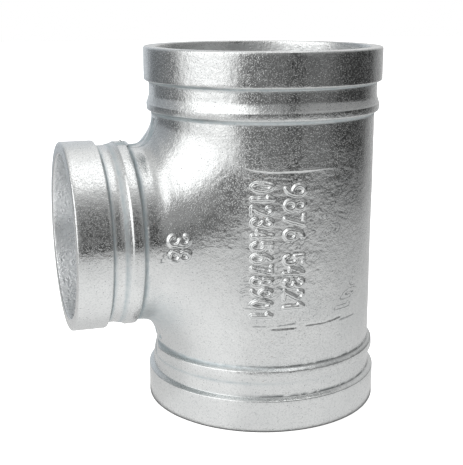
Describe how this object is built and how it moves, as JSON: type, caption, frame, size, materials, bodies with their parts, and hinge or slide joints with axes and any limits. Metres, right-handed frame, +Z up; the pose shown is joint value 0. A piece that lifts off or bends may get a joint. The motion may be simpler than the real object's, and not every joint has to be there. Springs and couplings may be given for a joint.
{
  "type": "pipe tee",
  "caption": "Grooved reducing pipe tee: a straight run with a smaller side branch, each end grooved for a clamp coupling, cast iron with a hot-dip zinc coat.",
  "frame": {"origin": "centre of the lower end face, on the run's axis", "axes": "+Z up along the run to its upper end, -X along the branch to its end face, +Y across both"},
  "size_m": [0.1556, 0.1142, 0.174],
  "materials": {
    "galvanised_iron": "hot-dip galvanised, bright satin"
  },
  "bodies": {
    "root": {"tee_body": "galvanised_iron"}
  },
  "joints": []
}
